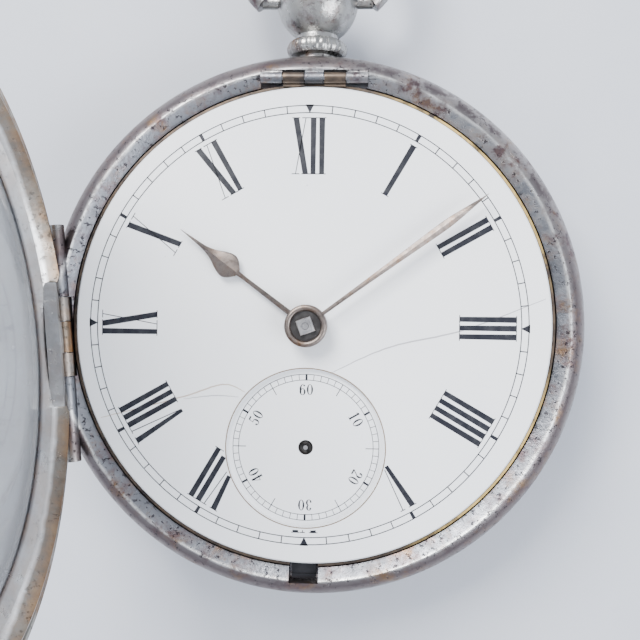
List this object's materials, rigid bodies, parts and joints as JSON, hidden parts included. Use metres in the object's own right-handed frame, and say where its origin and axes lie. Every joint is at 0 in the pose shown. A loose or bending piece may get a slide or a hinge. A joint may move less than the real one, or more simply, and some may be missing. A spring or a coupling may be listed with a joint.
{
  "type": "hunter pocket watch",
  "caption": "Full hunter pocket watch with hinged front cover, bezel and back cover, swing-out key-wound lever movement, enamel dial with sunk seconds, pendant with push button and bow.",
  "frame": {"origin": "centre of the flat on the outside of the closed back cover", "axes": "+Z out through the dial, +Y from the dial's centre to the pendant, +X to the side away from the cover hinge"},
  "size_m": [0.0569, 0.0753, 0.0616],
  "materials": {
    "case_silver": "tarnished polished silver with a milled edge",
    "steel": "polished steel",
    "blued_steel": "dark blued steel",
    "gilt_brass": "frosted gilding",
    "hand_metal": "tarnished faceted hands",
    "enamel": "fired white enamel",
    "jewel": "polished ruby",
    "crystal": "clear polished glass"
  },
  "bodies": {
    "case": {"case_band": "case_silver", "inner_dome": "case_silver", "pendant": "case_silver", "cover_hinge_pin": "steel", "back_hinge_pin": "steel", "movement_joint_pin": "steel", "lift_spring": "steel", "lock_spring": "steel"},
    "push_button": {"push_button": "case_silver"},
    "bow": {"bow": "case_silver"},
    "back_cover": {"back_cover": "case_silver"},
    "front_cover": {"front_cover": "case_silver"},
    "bezel": {"bezel_ring": "case_silver", "crystal": "crystal"},
    "movement": {"pillar_plate": "gilt_brass", "brass_edge": "gilt_brass", "pillars": "gilt_brass", "three_quarter_plate": "gilt_brass", "plate_jewels": "jewel", "plate_screws": "blued_steel", "balance_cock": "gilt_brass", "cock_screw": "blued_steel", "cock_jewel": "jewel", "regulator": "blued_steel", "pallet_cock": "gilt_brass", "dial": "enamel", "seconds_dial": "enamel", "dial_feet": "gilt_brass", "minute_wheel_post": "steel", "click_screw": "blued_steel", "hairspring": "blued_steel"},
    "bolt": {"movement_bolt": "blued_steel"},
    "centre": {"centre_pinion": "steel", "centre_wheel": "gilt_brass"},
    "cannon": {"cannon_pinion": "steel", "minute_hand": "hand_metal"},
    "hour": {"hour_wheel": "gilt_brass", "hour_hand": "hand_metal"},
    "minute_wheel": {"minute_wheel": "gilt_brass"},
    "third": {"third_pinion": "steel", "third_wheel": "gilt_brass"},
    "fourth": {"fourth_pinion": "steel", "fourth_wheel": "gilt_brass"},
    "escape": {"escape_pinion": "steel", "escape_wheel": "steel"},
    "barrel": {"mainspring_barrel": "gilt_brass", "barrel_cover": "gilt_brass"},
    "arbor": {"barrel_arbor": "steel", "ratchet_wheel": "steel", "mainspring": "blued_steel"},
    "click": {"click": "steel"},
    "lever": {"pallet_lever": "steel", "pallet_stones": "jewel"},
    "balance": {"balance_wheel": "gilt_brass", "balance_screws": "gilt_brass", "balance_staff": "steel", "roller": "gilt_brass"}
  },
  "joints": [
    {"name": "front_cover_hinge", "type": "hinge", "parent": "case", "child": "front_cover", "pos_m": [-0.02431, -0.00213, 0.0115], "axis": [0.0872, -0.9962, 0], "range_deg": [-88, 0], "stiffness_Nm_per_rad": 0.01, "springref_deg": 20.05},
    {"name": "bezel_hinge", "type": "hinge", "parent": "case", "child": "bezel", "pos_m": [-0.02431, -0.00213, 0.0115], "axis": [0.0872, -0.9962, 0], "range_deg": [-88, 0]},
    {"name": "back_cover_hinge", "type": "hinge", "parent": "case", "child": "back_cover", "pos_m": [-0.0252, -0.0022, 0.0045], "axis": [-0.0872, 0.9962, 0], "range_deg": [0, 100]},
    {"name": "movement_swing", "type": "hinge", "parent": "case", "child": "movement", "pos_m": [0, 0.0241, 0.0113], "axis": [-1, 0, 0], "range_deg": [0, 80]},
    {"name": "bow_swing", "type": "hinge", "parent": "case", "child": "bow", "pos_m": [0, 0.0328, 0.0073], "axis": [1, 0, 0], "range_deg": [-85, 85]},
    {"name": "button_press", "type": "slide", "parent": "case", "child": "push_button", "axis": [0, -1, 0], "range_m": [0, 0.0008], "stiffness_N_per_m": 600, "springref_m": -0.0005},
    {"name": "bolt_slide", "type": "slide", "parent": "movement", "child": "bolt", "axis": [0, 1, 0], "range_m": [0, 0.0008], "stiffness_N_per_m": 200, "springref_m": -0.0005},
    {"name": "hands_turn", "type": "hinge", "parent": "movement", "child": "cannon", "pos_m": [-0.0004, 0, 0.012], "axis": [0, 0, 1], "continuous": true},
    {"name": "centre_turn", "type": "hinge", "parent": "movement", "child": "centre", "pos_m": [-0.0004, 0, 0.006], "axis": [0, 0, 1], "continuous": true},
    {"name": "hour_turn", "type": "hinge", "parent": "movement", "child": "hour", "pos_m": [-0.0004, 0, 0.011], "axis": [0, 0, 1], "continuous": true},
    {"name": "minute_wheel_turn", "type": "hinge", "parent": "movement", "child": "minute_wheel", "pos_m": [0.00336, 0.00137, 0.0098], "axis": [0, 0, 1], "continuous": true},
    {"name": "barrel_turn", "type": "hinge", "parent": "movement", "child": "barrel", "pos_m": [-0.0004, 0.01056, 0.006], "axis": [0, 0, 1], "continuous": true},
    {"name": "third_turn", "type": "hinge", "parent": "movement", "child": "third", "pos_m": [0.00361, -0.00704, 0.006], "axis": [0, 0, 1], "continuous": true},
    {"name": "fourth_turn", "type": "hinge", "parent": "movement", "child": "fourth", "pos_m": [-0.0004, -0.012, 0.006], "axis": [0, 0, 1], "continuous": true},
    {"name": "escape_turn", "type": "hinge", "parent": "movement", "child": "escape", "pos_m": [-0.00371, -0.01531, 0.005], "axis": [0, 0, 1], "continuous": true},
    {"name": "winding_turn", "type": "hinge", "parent": "movement", "child": "arbor", "pos_m": [-0.0004, 0.01056, 0.003], "axis": [0, 0, 1], "range_deg": [0, 1440], "deforming": ["mainspring"]},
    {"name": "click_lift", "type": "hinge", "parent": "movement", "child": "click", "pos_m": [-0.0056, 0.0106, 0.0024], "axis": [0, 0, 1], "range_deg": [0, 12]},
    {"name": "lever_rock", "type": "hinge", "parent": "movement", "child": "lever", "pos_m": [-0.00679, -0.01217, 0.005], "axis": [0, 0, 1], "range_deg": [-5, 5]},
    {"name": "balance_swing", "type": "hinge", "parent": "movement", "child": "balance", "pos_m": [-0.0114, -0.0075, 0.0032], "axis": [0, 0, 1], "range_deg": [-20, 20]}
  ],
  "couplings": [
    {"joint": "bezel_hinge", "follows": "front_cover_hinge", "ratio": 1},
    {"joint": "hour_turn", "follows": "hands_turn", "ratio": 0.083333},
    {"joint": "minute_wheel_turn", "follows": "hands_turn", "ratio": -0.33333},
    {"joint": "centre_turn", "follows": "fourth_turn", "ratio": 0.016667},
    {"joint": "barrel_turn", "follows": "fourth_turn", "ratio": -0.002381},
    {"joint": "third_turn", "follows": "fourth_turn", "ratio": -0.13333},
    {"joint": "escape_turn", "follows": "fourth_turn", "ratio": -8}
  ]
}
